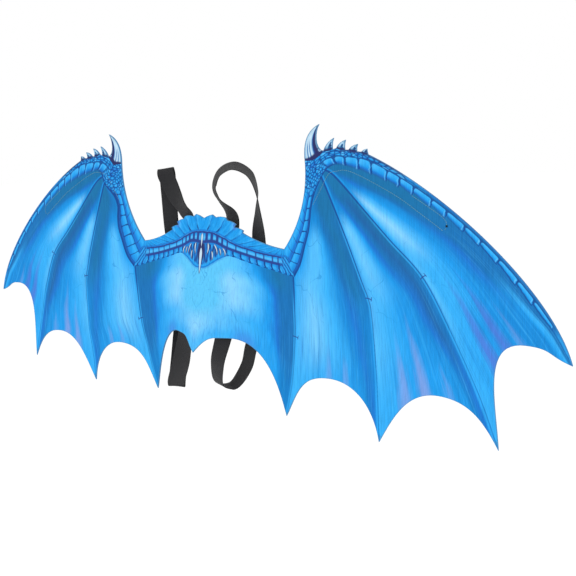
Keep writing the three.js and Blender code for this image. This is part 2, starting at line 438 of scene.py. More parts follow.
def honeycomb(loop, step):
    low = loop.min(0)
    high = loop.max(0)
    rows = np.arange(low[1], high[1], step * math.sqrt(3) / 2)
    columns = np.arange(step, high[0], step)
    columns = np.concatenate([-columns[::-1], [0], columns])
    x, z = np.meshgrid(columns, rows)
    x[1::2] += np.where(x[1::2] < 0, step / 2, -step / 2) * (np.abs(x[1::2]) > step / 2)
    return np.column_stack([x.ravel(), z.ravel()])


def halfOf(loop):
    count = int(np.argmin(np.hypot(loop[:, 0], loop[:, 1] - corners["bottom"][1])))
    return loop[:count + 1]


def runBetween(half, first, last):
    a, b = [int(np.argmin(np.hypot(*(half - np.array(place)).T))) for place in (first, last)]
    return half[a:b + 1]


def ease(values, start, end):
    share = np.clip((values - start) / (end - start), 0, 1)
    return share * share * (3 - 2 * share)


def printSpot(places, rim):
    # where each place lies on the drawing, which is laid out for the right half
    x, z = np.abs(places[:, 0]), places[:, 1]
    share = ease(rim, 0, leftShift["margin"]) * ease(x, *leftShift["span"]) * (places[:, 0] < 0)
    out = leftShift["out"] * np.interp(z, leftShift["heights"], (leftShift["lowest"], 1))
    return np.column_stack([x - out * share, z + leftShift["down"] * share])


def measurePrint(places, half):
    # everything that the print is drawn from, for each place on the panel
    rim = np.abs(sideOf(half, np.column_stack([np.abs(places[:, 0]), places[:, 1]])))
    spot = printSpot(places, rim)
    runs = {name: smoothRun(stops) for name, stops in printLines.items()}
    marks = {"rim": rim, "printX": spot[:, 0], "printZ": spot[:, 1]}
    along, marks["armUp"] = alongAndSide(runs["armBorder"], spot)
    marks["armPast"] = along - alongAndSide(runs["armBorder"], np.array([corners["wrist"]]))[0]
    addPartings(marks, "plate", marks["armPast"], armPlates["partings"])
    bases = [place for horn in hornTable for place in (horn["root"], horn["back"])]
    armEdge = [runBetween(half, corners["neck"], corners["hornRoot"])[:-1], bases]
    armEdge = np.vstack([*armEdge, runBetween(half, corners["spikesEnd"], corners["tip"])[1:]])
    armEdge = armEdge[np.append(True, np.hypot(*np.diff(armEdge, axis=0).T) > 0.05)]
    marks["armIn"] = -sideOf(armEdge, spot)
    for rib in ("rib2", "rib3", "rib4"):
        marks[rib] = sideOf(runs[rib], spot)
    marks["ruffUp"] = sideOf(runs["ruffLine"], spot)
    marks["bandIn"] = sideOf(runs["bandLine"], spot)
    elbowRun = np.array([corners["neck"], corners["elbow"]])
    marks["elbow"] = sideOf(elbowRun, spot)
    hem = np.abs(sideOf(runBetween(half, corners["tip"], corners["bottom"]), spot))
    addBays(marks, runs, spot, hem)
    addShade(marks)
    for row, partings in bandPartings.items():
        addPartings(marks, row, spot[:, 0], partings)
    addLeaves(marks, spot)
    addHorns(marks, half, spot)
    return marks


def addBays(marks, runs, spot, hem):
    # 0 to 1 between the arm and the first rib, 1 to 2 to the next, up to 3 at the last rib; the body apart
    border = runs["armBorder"]
    inner = border[:int(np.argmin(np.hypot(*(border - corners["wrist"]).T)))]
    wingSide = sideOf(np.vstack([inner[::-1], runs["rib4"][1:]]), spot)
    tiny = 1e-6
    outer = np.maximum(-marks["armUp"], 0.3)
    one = np.abs(marks["rib2"]) + tiny
    two = np.abs(marks["rib3"]) + tiny
    bay = 2 + two / (two + np.maximum(wingSide, 0) + tiny)
    bay = np.where(marks["rib3"] > 0, 1 + one / (one + two), bay)
    bay = np.where(marks["rib2"] > 0, outer / (outer + one), bay)
    marks["bay"] = np.minimum(bay, 2.999)
    root = np.hypot(*(spot - corners["wrist"]).T)
    marks["reach"] = root / (root + hem + tiny)
    flank = np.maximum(-wingSide, 0)
    marks["bodyBay"] = flank / (flank + spot[:, 0] + tiny)
    fall = np.maximum(-marks["bandIn"], 0)
    marks["bodyReach"] = fall / (fall + hem + tiny)
    marks["bodySide"] = -wingSide


def stretched(across, reach, shares):
    # share across a bay, with its shadow stretched or squeezed to end at 0.4
    dark = np.interp(reach, [row["reach"] for row in shadowTable], shares)
    beyond = 0.4 + 0.6 * (across - dark) / (1 - dark)
    return np.where(across < dark, 0.4 * across / dark, beyond)


def addShade(marks):
    number = np.floor(marks["bay"]).astype(int)
    across = marks["bay"] - number
    wings = []
    for shares in zip(*(row["bays"] for row in shadowTable)):
        wings.append(stretched(across, marks["reach"], shares))
    marks["shade"] = number + np.choose(number, wings)
    shares = [row["body"] for row in shadowTable]
    marks["bodyShade"] = stretched(marks["bodyBay"], marks["bodyReach"], shares)


def addPartings(marks, name, place, partings):
    row = np.interp(place, partings, np.arange(len(partings)))
    marks[name + "Row"] = row
    marks[name + "Wide"] = np.diff(partings)[np.clip(row.astype(int), 0, len(partings) - 2)]


def addLeaves(marks, spot):
    height = np.clip(marks["ruffUp"] / (marks["ruffUp"] + marks["rim"] + 1e-6), 0, 1)
    partings = [row["foot"] + (row["edge"] - row["foot"]) * height**0.7 for row in leafTable]
    marks["leaf"] = sum(np.clip((spot[:, 0] - a) / (b - a), 0, 1) for a, b in zip(partings, partings[1:]))
    marks["leafUp"] = height


def addHorns(marks, half, spot):
    # share across each horn, share of its height, and the way above its sagging foot
    marks["hornAcross"] = np.full(len(spot), 0.5)
    marks["hornUp"] = np.zeros(len(spot))
    marks["hornIn"] = -marks["armIn"]
    marks["spike"] = (spot[:, 0] > hornTable[1]["root"][0]).astype(float)
    margin = 7
    for horn in hornTable:
        root, tip, back = (np.array(horn[name]) for name in ("root", "tip", "back"))
        base = back - root
        height = abs(np.cross(base, tip - root)) / np.hypot(*base)
        front = np.abs(sideOf(runBetween(half, horn["root"], horn["tip"]), spot))
        rear = np.abs(sideOf(runBetween(half, horn["tip"], horn["back"]), spot))
        share = np.clip((spot - root) @ base / (base @ base), 0, 1)
        above = horn["sag"] * 4 * share * (1 - share) - marks["armIn"]
        mine = (spot[:, 0] > root[0] - margin) & (spot[:, 0] < max(back[0], tip[0]) + 1)
        mine &= marks["armIn"] < margin
        marks["hornAcross"][mine] = (front / (front + rear + 1e-6))[mine]
        marks["hornUp"][mine] = (above / (height + horn["sag"]))[mine]
        marks["hornIn"] = np.maximum(marks["hornIn"], np.where(mine, above, -np.inf))


def fillPanel(loop):
    fine = honeycomb(loop, panel["fineStep"])
    coarse = honeycomb(loop, panel["coarseStep"])
    runs = [smoothRun(printLines[name]) for name in ("bandLine", "armBorder")]

    def scaly(places, margin):
        spot = np.column_stack([np.abs(places[:, 0]), places[:, 1]])
        onBody = sideOf(np.array([corners["neck"], corners["elbow"]]), spot) < 0
        aboveBand, aboveBorder = (sideOf(run, spot) for run in runs)
        return np.where(onBody, aboveBand, aboveBorder) > -margin

    fine = fine[insideLoop(loop, fine)]
    fine = fine[scaly(fine, panel["fineMargin"])]
    coarse = coarse[insideLoop(loop, coarse)]
    coarse = coarse[~scaly(coarse, panel["fineMargin"] + panel["coarseStep"] / 2)]
    edge = KDTree(4 * len(loop))
    for number, (a, b) in enumerate(zip(loop, np.roll(loop, -1, axis=0))):
        for part in range(4):
            x, z = a + (b - a) * part / 4
            edge.insert((x, z, 0), 4 * number + part)
    edge.balance()
    clearance = 0.55
    kept = [p for p in fine if edge.find((p[0], p[1], 0))[2] > clearance * panel["fineStep"]]
    kept += [p for p in coarse if edge.find((p[0], p[1], 0))[2] > clearance * panel["coarseStep"]]
    flat = [Vector(p) for p in (*loop, *kept)]
    rim = [(i, (i + 1) % len(loop)) for i in range(len(loop))]
    corner, _, faces, *_ = delaunay_2d_cdt(flat, rim, [], 1, 1e-4)
    return np.array(corner), faces


def panelDepth(x, z):
    # y of the printed face: the fold, and a slight wave in the free wings
    sway = np.sin((np.abs(x) + 0.6 * z) * 2 * math.pi / panel["waveLength"])
    share = ease(np.abs(x), panel["waveStart"], panel["waveStart"] + 120)
    return backDepth(x, z) - panel["thickness"] + panel["wave"] * sway * share


def makePanel():
    loop = cutLoop()
    half = halfOf(loop)
    places, faces = fillPanel(loop)
    x, z = places.T
    sheet = buildMesh("wing_felt", np.column_stack([x, panelDepth(x, z), z]), faces)
    mesh = sheet.data
    if mesh.polygons[0].normal.y > 0:
        mesh.flip_normals()
    for name, values in measurePrint(places, half).items():
        mark = mesh.attributes.new(name, "FLOAT", "POINT")
        mark.data.foreach_set("value", values.astype(np.float32))
    mesh.materials.append(printedFace())
    mesh.materials.append(plainFelt("felt_back", "a3b6c8", "c6d3de"))
    mesh.materials.append(plainFelt("felt_cut_edge", "2f6fa8", "5f96be"))
    wall = sheet.modifiers.new("wall", "SOLIDIFY")
    wall.thickness = panel["thickness"] * mm
    wall.offset = -1
    wall.material_offset = 1
    wall.material_offset_rim = 2
    bpy.ops.object.modifier_apply(modifier="wall")
    bpy.ops.object.shade_smooth_by_angle(angle=math.radians(40))
    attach(sheet, "root")
    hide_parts("wing_panel")
    print("felt panel:", len(mesh.polygons), "faces")


def buildMesh(name, places, faces):
    # a new object, which alone is selected
    mesh = bpy.data.meshes.new(name)
    mesh.from_pydata(np.array(places) * mm, [], faces)
    thing = bpy.data.objects.new(name, mesh)
    bpy.context.collection.objects.link(thing)
    bpy.ops.object.select_all(action="DESELECT")
    thing.select_set(True)
    bpy.context.view_layer.objects.active = thing
    return thing


def faceOutwards(smoothTo):
    bpy.ops.object.mode_set(mode="EDIT")
    bpy.ops.mesh.select_all(action="SELECT")
    bpy.ops.mesh.normals_make_consistent(inside=False)
    bpy.ops.object.mode_set(mode="OBJECT")
    bpy.ops.object.shade_smooth_by_angle(angle=math.radians(smoothTo))


# the print

inks = {
    "azure": "219be9",
    "bright": "38aef4",
    "sky": "54bbf8",
    "cyan": "5cc3f5",
    "pale": "6ac3f8",
    "mist": "78caf9",
    "haze": "88cffa",
    "ocean": "1a89d6",
    "blue": "187fc8",
    "royal": "1f74cc",
    "deep": "1d71b4",
    "teal": "1e72a8",
    "dusk": "2265a4",
    "navy": "1f55a2",
    "line": "1b4a92",
    "slate": "1f5a96",
    "purple": "2c4690",
    "lilac": "7fa0e2",
    "violet": "4f7ad6",
    "ice": "c3e0f2",
    "frost": "8fbfe0",
    "bone": "c8e2f3",
    "hornTip": "5d90ad",
    "plum": "2f3364",
    "cutEdge": "54809f",
}

# Each bay from its outer to its inner side, in stages from the wrist to the hem: share across and ink.
# The shadow ends at a share of 0.4, because the shade mark is stretched to that.
wingInks = [
    {"from": 0, "full": 0, "bays": [
        [(0, "teal"), (0.3, "teal"), (0.48, "deep"), (0.75, "blue"), (0.995, "deep")],
        [(0, "teal"), (0.3, "teal"), (0.46, "deep"), (0.75, "blue"), (0.995, "deep")],
        [(0, "teal"), (0.35, "teal"), (0.6, "deep"), (0.995, "blue")],
    ]},
    {"from": 0.05, "full": 0.14, "bays": [
        [(0, "teal"), (0.24, "teal"), (0.36, "deep"), (0.46, "royal"), (0.62, "ocean"), (0.82, "ocean"),
         (0.995, "blue")],
        [(0, "teal"), (0.22, "dusk"), (0.34, "deep"), (0.44, "royal"), (0.62, "ocean"), (0.82, "ocean"),
         (0.995, "blue")],
        [(0, "deep"), (0.25, "teal"), (0.38, "deep"), (0.5, "blue"), (0.7, "ocean"), (0.995, "ocean")],
    ]},
    {"from": 0.12, "full": 0.24, "bays": [
        [(0, "teal"), (0.22, "teal"), (0.34, "deep"), (0.42, "ocean"), (0.52, "azure"), (0.64, "sky"),
         (0.77, "haze"), (0.87, "pale"), (0.94, "bright"), (0.995, "ocean")],
        [(0, "teal"), (0.2, "dusk"), (0.32, "deep"), (0.41, "royal"), (0.5, "azure"), (0.64, "sky"),
         (0.79, "pale"), (0.91, "sky"), (0.995, "ocean")],
        [(0, "deep"), (0.2, "teal"), (0.33, "deep"), (0.42, "ocean"), (0.54, "bright"), (0.68, "sky"),
         (0.82, "sky"), (0.995, "azure")],
    ]},
    {"from": 0.36, "full": 0.62, "bays": [
        [(0, "deep"), (0.26, "deep"), (0.36, "royal"), (0.46, "ocean"), (0.58, "azure"),
         (0.74, "bright"), (0.88, "bright"), (0.97, "sky")],
        [(0, "blue"), (0.2, "dusk"), (0.33, "royal"), (0.43, "ocean"), (0.62, "azure"), (0.82, "bright"),
         (0.995, "sky")],
        [(0, "ocean"), (0.16, "blue"), (0.33, "royal"), (0.44, "ocean"), (0.56, "bright"), (0.68, "sky"),
         (0.8, "mist"), (0.995, "bright")],
    ]},
    {"from": 0.7, "full": 0.92, "bays": [
        [(0, "deep"), (0.06, "deep"), (0.14, "bright"), (0.25, "azure"), (0.36, "ocean"),
         (0.52, "ocean"), (0.76, "azure"), (0.995, "bright")],
        [(0, "azure"), (0.14, "royal"), (0.36, "blue"), (0.46, "azure"), (0.7, "azure"),
         (0.995, "bright")],
        [(0, "azure"), (0.14, "royal"), (0.36, "blue"), (0.48, "azure"), (0.8, "bright"),
         (0.995, "bright")],
    ]},
]
bodyInks = [
    {"from": 0, "full": 0, "bays": [
        [(0, "deep"), (0.2, "teal"), (0.36, "blue"), (0.46, "azure"), (0.6, "sky"), (0.8, "cyan"),
         (1, "cyan")]]},
    {"from": 0.1, "full": 0.28, "bays": [
        [(0, "deep"), (0.25, "deep"), (0.36, "royal"), (0.44, "azure"), (0.52, "sky"), (0.6, "mist"),
         (0.72, "haze"), (0.86, "cyan"), (1, "cyan")]]},
    {"from": 0.5, "full": 0.74, "bays": [
        [(0, "deep"), (0.28, "deep"), (0.36, "royal"), (0.44, "azure"), (0.58, "bright"), (0.72, "sky"),
         (0.86, "pale"), (1, "haze")]]},
    {"from": 0.76, "full": 0.97, "bays": [
        [(0, "blue"), (0.28, "blue"), (0.42, "azure"), (0.76, "bright"), (1, "sky")]]},
]

# streaks of lilac that open towards the hem: bay number and share, reach where they start, width at the hem
wedges = [
    {"bay": 0.34, "start": 0.8, "width": 0.045, "ink": "lilac", "strength": 0.35},
    {"bay": 0.5, "start": 0.58, "width": 0.08, "ink": "violet", "strength": 0.85},
    {"bay": 0.69, "start": 0.55, "width": 0.08, "ink": "violet", "strength": 0.85},
    {"bay": 1.27, "start": 0.84, "width": 0.05, "ink": "lilac", "strength": 0.4},
    {"bay": 1.5, "start": 0.6, "width": 0.075, "ink": "lilac", "strength": 0.85},
    {"bay": 1.71, "start": 0.68, "width": 0.08, "ink": "lilac", "strength": 0.75},
    {"bay": 2.36, "start": 0.84, "width": 0.05, "ink": "lilac", "strength": 0.4},
    {"bay": 2.56, "start": 0.8, "width": 0.06, "ink": "lilac", "strength": 0.4},
]

armPlates = {
    # where the plates part, past the wrist
    "partings": (-8, 6, 18, 30, 47, 63.5, 84.5, 102, 121, 145.5, 166.5, 191.5, 214.5, 241.5, 270.5, 297,
                 330),
    "wristShare": 0.51,  # of the arm's height
    "fullShare": 0.75,
    # from and to, past the wrist
    "leadingFrom": (2, 12),
    "fullFrom": (0, 70),
    "narrowFrom": (20, 150),  # the near ends of the plates narrow
    "brightFrom": (120, 240),  # and lose their dusky foot
    "stripFrom": (75, 140),  # a strip takes the place of the pebbles
    "stripDarkFrom": (105, 150),
    "tipFrom": (322, 348),
    "pebblesFrom": (-31, -17),  # above the inner plates
    "lineUntil": (30, 8),  # a line along the foot of the inner arm ends
    "lean": 0.35,
    "gap": 1.05,
    "petal": 0.34,  # how far the near end of an outer plate is narrowed
    "pebble": (4.2, 2.8),
    "even": 38,  # as far as this past the wrist the pebbles are alike
    "stretch": 0.03,  # how fast they grow longer from there
    "innerLength": 15,
    "innerShares": (0.13, 0.5, 0.64),  # shadow, column of plates, groove; the strip is the rest
}

knuckles = [
    {"x": 308, "z": 37, "turn": -42},
    {"x": 239, "z": 6, "turn": 8},
    {"x": 134, "z": -54, "turn": 12},
]


def paintStages(stages, shade, reach):
    colour = None
    for stage in stages:
        bays = stage["bays"]
        stops = []
        for number, bay in enumerate(bays):
            stops += [((number + share) / len(bays), name) for share, name in bay]
        layer = ramp(shade / len(bays), stops)
        colour = mixInk(fade(reach, stage["from"], stage["full"]), colour, layer) if colour else layer
    return colour


def stroke(off, width):
    # a painted line of this width along off = 0, soft at its sides
    return fade(abs(off), width * 0.5 + 0.4, width * 0.5 - 0.4)


def paintWing(bay, reach):
    across = maths("FRACT", bay)
    sway = noise(joinPlace(bay * 3, reach * 2.5), 1.0)
    shade = readMark("shade") + (sway - 0.5) * 0.14 * fade(abs(across - 0.5), 0.5, 0.3)
    late = fade(bay, 0.99, 1.01) * 0.045 + fade(bay, 1.99, 2.01) * 0.055
    colour = paintStages(wingInks, shade, reach - late)
    # brush streaks along the ribs, then the lilac ones
    brush = noise(joinPlace(bay * 20, reach * 1.5), 1.0, detail=3)
    free = fade(across, 0.02, 0.2) * fade(across, 1.0, 0.86)
    colour = mixInk(fade(brush, 0.52, 0.74) * fade(reach, 0.4, 0.85) * free * 0.6, colour, "blue")
    colour = mixInk(fade(brush, 0.48, 0.28) * fade(reach, 0.35, 0.8) * free * 0.4, colour, "bright")
    colour = paintHairs(colour, bay, reach)
    ragged = bay + (noise(joinPlace(bay * 26, reach * 6), 1.0, detail=3) - 0.5) * 0.09
    for wedge in wedges:
        spread = fade(reach, wedge["start"] - 0.1, 1.1)
        half = spread * wedge["width"] + 0.006
        share = fade(abs(ragged - wedge["bay"]) / half, 1.3, 0.1) * fade(reach, wedge["start"], 0.97)
        colour = mixInk(share * wedge["strength"], colour, wedge["ink"])
    return colour


def paintHairs(colour, bay, reach):
    # fine hairlike streaks, denser towards the hem
    hair = noise(joinPlace(bay * 75, reach * 4), 1.0, detail=3, roughness=0.6)
    colour = mixInk(fade(hair, 0.5, 0.72) * fade(reach, 0.2, 0.85) * 0.42, colour, "royal")
    return mixInk(fade(hair, 0.5, 0.3) * fade(reach, 0.25, 0.9) * 0.25, colour, "sky")


def paintBody():
    across = readMark("bodyBay")
    reach = readMark("bodyReach")
    sway = noise(joinPlace(across * 3, reach * 2.5, 3.0), 1.0)
    shade = readMark("bodyShade") + (sway - 0.5) * 0.14 * fade(abs(across - 0.5), 0.5, 0.3)
    colour = paintStages(bodyInks, shade, reach)
    brush = noise(joinPlace(across * 20, reach * 1.5, 3.0), 1.0, detail=3)
    colour = mixInk(fade(brush, 0.5, 0.72) * fade(reach, 0.55, 0.9) * 0.5, colour, "azure")
    colour = paintHairs(colour, across + 3, reach)
    bloom = fade(abs(across - 0.52), 0.16, 0.02) * fade(reach, 0.8, 1.0)
    return mixInk(bloom * 0.5, colour, "violet")


def paintMembrane(x, z):
    bay = readMark("bay")
    reach = readMark("reach")
    side = readMark("bodySide")
    onBody = fade(side, -0.3, 0.3)
    colour = mixInk(onBody, paintWing(bay, reach), paintBody())
    # fine cracks in the pale parts
    patchy = noise(joinPlace(x * 0.05, z * 0.05), 1.0, detail=4, roughness=0.65)
    bend = maths("SINE", z * 0.19 + x * 0.07) * 0.06 + maths("SINE", x * 0.43 - z * 0.31) * 0.03
    crackPlace = joinPlace(x * 0.024 + bend, z * 0.018 - bend)
    inWing = fade(maths("FRACT", bay), 0.45, 0.65) * fade(reach, 0.85, 0.5)
    inBody = fade(readMark("bodyBay"), 0.3, 0.5) * fade(readMark("bodyReach"), 0.9, 0.6)
    where = inWing + (inBody - inWing) * onBody
    crack = fade(cellGap(crackPlace), 0.016, 0.005) * fade(patchy, 0.42, 0.55)
    return mixInk(crack * where * 0.45, colour, "blue")


def paintRibs(colour):
    onWing = fade(readMark("armUp"), 1.0, 0.0)
    onBody = fade(readMark("bandIn"), 1.0, 0.0)
    onWings = (onWing, readMark("reach"))
    ribs = {"rib2": onWings, "rib3": onWings, "rib4": (onBody, readMark("bodyReach"))}
    for name, (shown, reach) in ribs.items():
        off = readMark(name)
        glow = fade(abs(off - 2.4), 2.0, 0.6) * shown * fade(reach, 0.34, 0.12)
        colour = mixInk(glow * 0.6, colour, "azure")
        light = fade(abs(off + 1.3), 1.5, 0.5) * fade(reach, 0.12, 0.4) * shown
        colour = mixInk(light * 0.6, colour, "bright")
        thin = stroke(off + 3.0, 0.8) * fade(reach, 0.2, 0.4) * fade(reach, 0.75, 0.5) * shown
        colour = mixInk(thin * 0.4, colour, "dusk")
        broad = fade(reach, 0.4, 0.02) * 1.2 + 1.2
        strength = fade(reach, 0.9, 0.3) * 0.55 + 0.35
        colour = mixInk(stroke(off - 0.4, broad) * shown * strength, colour, "line")
    return colour


def paintKnuckles(colour, x, z):
    for knuckle in knuckles:
        turn = math.radians(knuckle["turn"])
        sideways = x - knuckle["x"]
        upwards = z - knuckle["z"]
        u = sideways * math.cos(turn) - upwards * math.sin(turn)
        w = sideways * math.sin(turn) + upwards * math.cos(turn)
        bar = stroke(w + u * u * 0.03, 1.3) * fade(abs(u - 1), 5.0, 3.8)
        post = stroke(u - 4.6, 1.0) * fade(abs(w), 3.2, 2.2)
        colour = mixInk(maths("MAXIMUM", bar, post) * 0.9, colour, "purple")
    return colour


def pebbles(place):
    gap = cellGap(place, 0.8)
    stone = cells(place, "F1", 0.8)
    parts = addNode("ShaderNodeSeparateColor")
    plug(parts.inputs[0], Wire(stone.outputs["Color"]))
    tone = Wire(parts.outputs[0])
    middle = Wire(stone.outputs["Distance"])
    colour = ramp(tone, [(0.0, "royal"), (0.3, "ocean"), (0.7, "azure"), (1.0, "sky")])
    colour = mixInk(fade(middle, 0.34, 0.05) * 0.5, colour, "sky")
    between = maths("MAXIMUM", fade(gap, 0.18, 0.06), fade(middle, 0.48, 0.66))
    return mixInk(between * 0.95, colour, "line")


def paintLeadingArm(under, up, tall, past, wobble):
    # plates along the membrane, pebbles above them that grow longer, a plain strip further out
    plates = armPlates
    length = readMark("plateWide")
    gain = plates["fullShare"] - plates["wristShare"]
    high = tall * (fade(past, *plates["fullFrom"]) * gain + plates["wristShare"])
    v = up / high
    u = maths("FRACT", readMark("plateRow") + (wobble * 2 - (1 - v) * high * plates["lean"]) / length)
    foot = (1 - u) * fade(past, *plates["narrowFrom"]) * plates["petal"]
    w = (v - foot) / (1 - foot)
    rim = smaller(smaller(u * length, (1 - u) * length, 1.5), (1 - v) * high, 4.5)
    far = fade(past, *plates["brightFrom"])
    dusky = [(0.0, "dusk"), (0.14, "dusk"), (0.3, "royal"), (0.5, "azure"), (0.85, "bright")]
    plain = [(0.0, "royal"), (0.16, "ocean"), (0.34, "azure"), (0.6, "bright")]
    plate = mixInk(far, ramp(w, dusky), ramp(w, plain))
    plate = mixInk(fade(u, 0.6, 0.1) * fade(w, 0.3, 0.7) * 0.5, plate, "sky")
    tick = stroke((1 - u) * length - 2.6, 1.2) * fade(w, 0.02, 0.2) * fade(v, 0.85, 0.65)
    plate = mixInk(tick * 0.6, plate, "pale")
    gaps = fade(rim, plates["gap"] + 0.4, plates["gap"] - 0.4) * fade(w, 0.02, 0.2)
    plate = mixInk(gaps * 0.95, plate, "line")
    plate = mixInk(fade(w, 0.16, 0.0), plate, under)
    plate = mixInk(stroke((v - foot) * high - 0.3, 1.6) * far * 0.75, plate, "line")
    run = readMark("armPast")
    even = plates["even"]
    beyond = maths("MAXIMUM", run - even, 0.0) * plates["stretch"]
    grown = maths("LOGARITHM", beyond + 1, math.e) / plates["stretch"]
    along = (maths("MINIMUM", run, even) + grown) / plates["pebble"][0]
    stones = pebbles(joinPlace(along, readMark("armUp") / plates["pebble"][1]))
    share = up / tall
    near = [(0.74, "slate"), (0.84, "deep"), (0.91, "ocean"), (0.97, "sky"), (1.0, "azure")]
    outer = [(0.74, "slate"), (0.85, "deep"), (0.93, "royal"), (1.0, "navy")]
    strip = mixInk(fade(past, *plates["stripDarkFrom"]), ramp(share, near), ramp(share, outer))
    upper = mixInk(fade(past, *plates["stripFrom"]) * 0.9, stones, strip)
    return mixInk(fade(v, 0.97, 1.03), plate, upper), stones


def paintInnerArm(share, tall, past):
    # thin shadow beside the membrane, a column of plates, a groove, and a bright strip with slanting lines
    plates = armPlates
    first, second, third = plates["innerShares"]
    u = maths("FRACT", past / plates["innerLength"] + share * 0.35)
    v = (share - first) / (second - first)
    rim = smaller(smaller(u * plates["innerLength"], (1 - u) * plates["innerLength"], 2.0),
                  smaller(v * tall, (1 - v) * tall, 2.0) * (second - first), 2.5)
    column = ramp(v, [(0.0, "royal"), (0.4, "azure"), (0.7, "bright"), (1.0, "azure")])
    column = mixInk(fade(rim, 1.3, 0.3), column, "line")
    edge = ramp(share, [
        (0.0, "line"), (first * 0.7, "navy"), (first, "royal"), (second, "royal"),
        (third - 0.04, "royal"), (third + 0.06, "azure"), (0.86, "bright"), (1.0, "azure")])
    onColumn = fade(share, first - 0.03, first + 0.03) * fade(share, second + 0.03, second - 0.03)
    inner = mixInk(onColumn, edge, column)
    slant = maths("FRACT", (past - share * 17) / (plates["innerLength"] * 0.92)) - 0.5
    onStrip = fade(share, second - 0.02, second + 0.06) * fade(share, 1.0, 0.8)
    return mixInk(stroke(slant * plates["innerLength"], 1.2) * onStrip * 0.8, inner, "purple")


def paintArm(colour, wobble):
    up = readMark("armUp") + wobble * 0.6
    tall = maths("MAXIMUM", up + readMark("armIn"), 0.5)
    past = readMark("armPast") + wobble * 2
    leading, stones = paintLeadingArm(colour, up, tall, past, wobble)
    inner = paintInnerArm(up / tall, tall, past)
    inner = mixInk(fade(past + up * 0.5, *armPlates["pebblesFrom"]), inner, stones)
    armInk = mixInk(fade(past, *armPlates["leadingFrom"]), inner, leading)
    ending = [(0.0, "line"), (0.16, "ocean"), (0.4, "bright"), (0.8, "azure"), (1.0, "royal")]
    armInk = mixInk(fade(past, *armPlates["tipFrom"]) * 0.8, armInk, ramp(up / tall, ending))
    armInk = mixInk(fade(up, 2.4, 0.9) * fade(past, *armPlates["lineUntil"]), armInk, "line")
    onArm = fade(readMark("armUp"), -0.4, 0.4) * fade(readMark("elbow"), -0.3, 0.3)
    return mixInk(onArm, colour, armInk)


bandPlates = {
    "upperShare": (0.31, 0.5),  # of the band's height, at the centre and further out
    "shareSpan": (18, 45),  # x of both
    "seamWidth": 3.4,
    "turnSpan": (113, 123),  # x where the band turns into the arm
    "slantPitch": 3.6,
}


def paintBand(colour, x, z, wobble):
    # two rows of small plates from the neck to the centre, under the ruff
    down = wobble - readMark("ruffUp")
    rise = readMark("bandIn") + wobble
    tall = maths("MAXIMUM", down + rise, 0.5)
    low, high = bandPlates["upperShare"]
    first, last = bandPlates["shareSpan"]
    split = fade(x, first, last) * (high - low) + low
    share = down / tall
    v = share / split
    u = maths("FRACT", readMark("upperRow"))
    wide = readMark("upperWide")
    rim = smaller(smaller(u * wide, (1 - u) * wide, 1.5), smaller(v, 1 - v, 0.1) * tall * split, 1.5)
    upper = ramp(v, [(0.0, "royal"), (0.3, "azure"), (0.6, "sky"), (1.0, "ocean")])
    thick = fade(x, last, first) * 1.2 + 1.6
    upper = mixInk(fade(rim, thick, thick - 1.4), upper, "purple")
    # the lower plates have a line at their top and near side, and fade into the body below
    v = (share - split) / (1 - split)
    u = maths("FRACT", readMark("lowerRow"))
    wide = readMark("lowerWide")
    lower = ramp(v, [(0.0, "royal"), (0.3, "azure"), (0.6, "bright"), (1.0, "azure")])
    lower = mixInk(fade(u, 0.5, 1.0) * 0.8, lower, "royal")
    sideLine = stroke(u * wide - 1.3 - fade(v, 0.5, 0.95) * 1.5, 2.5) * fade(v, 1.0, 0.88)
    lower = mixInk(sideLine, lower, "line")
    foot = stroke((1 - v) * tall * (1 - split) - 0.6, 1.8) * fade(u, 0.7, 0.45)
    lower = mixInk(foot * 0.9, lower, "line")
    bandInk = mixInk(fade(share, split - 0.03, split + 0.03), upper, lower)
    bandInk = mixInk(stroke((share - split) * tall, bandPlates["seamWidth"]) * 0.95, bandInk, "purple")
    bandInk = mixInk(stroke(down - 1.2, 2.0), bandInk, "purple")
    # fine slanting lines where the band turns into the arm
    fan = maths("FRACT", (x * 0.8 + z * 0.55 + wobble) / bandPlates["slantPitch"])
    corner = fade(x, *bandPlates["turnSpan"]) * fade(rise, 1, 6)
    slants = [(0.0, "line"), (0.25, "royal"), (0.55, "bright"), (0.8, "azure"), (0.95, "line")]
    bandInk = mixInk(corner * 0.9, bandInk, ramp(fan, slants))
    onBand = fade(rise, -0.3, 0.3) * fade(readMark("elbow"), 0.3, -0.3) * fade(down, -0.3, 0.3)
    return mixInk(onBand, colour, bandInk)


# white spikes and fangs in the heart under the ruff: top, bend and point, as x and z, and half width
fangs = [
    {"top": (0, 76), "bend": (0, 68), "point": (0, 58), "half": 1.5},
    {"top": (0, 57), "bend": (0, 42), "point": (0, 23), "half": 2.3},
    {"top": (10.5, 63.5), "bend": (11.5, 57), "point": (9.5, 48.5), "half": 1.1},
    {"top": (20, 62), "bend": (23.5, 56), "point": (25, 48.5), "half": 1.0},
    {"top": (32.5, 57.5), "bend": (35.5, 53.5), "point": (36, 47), "half": 0.9},
    {"top": (17, 53), "bend": (18.3, 47.5), "point": (17.8, 41.5), "half": 0.9},
    {"top": (28, 57), "bend": (29.6, 53), "point": (29.8, 48), "half": 0.7},
]


heart = {
    "sideUntil": (44, 36),  # x where it ends
    "topFrom": (15, 17),  # below the foot of the ruff
    "throatUntil": (8, 3),  # x of the dark middle
    "throatFrom": (36, 46),  # and its z
    "borderUntil": (6.5, 3.0),  # above its lower edge
}


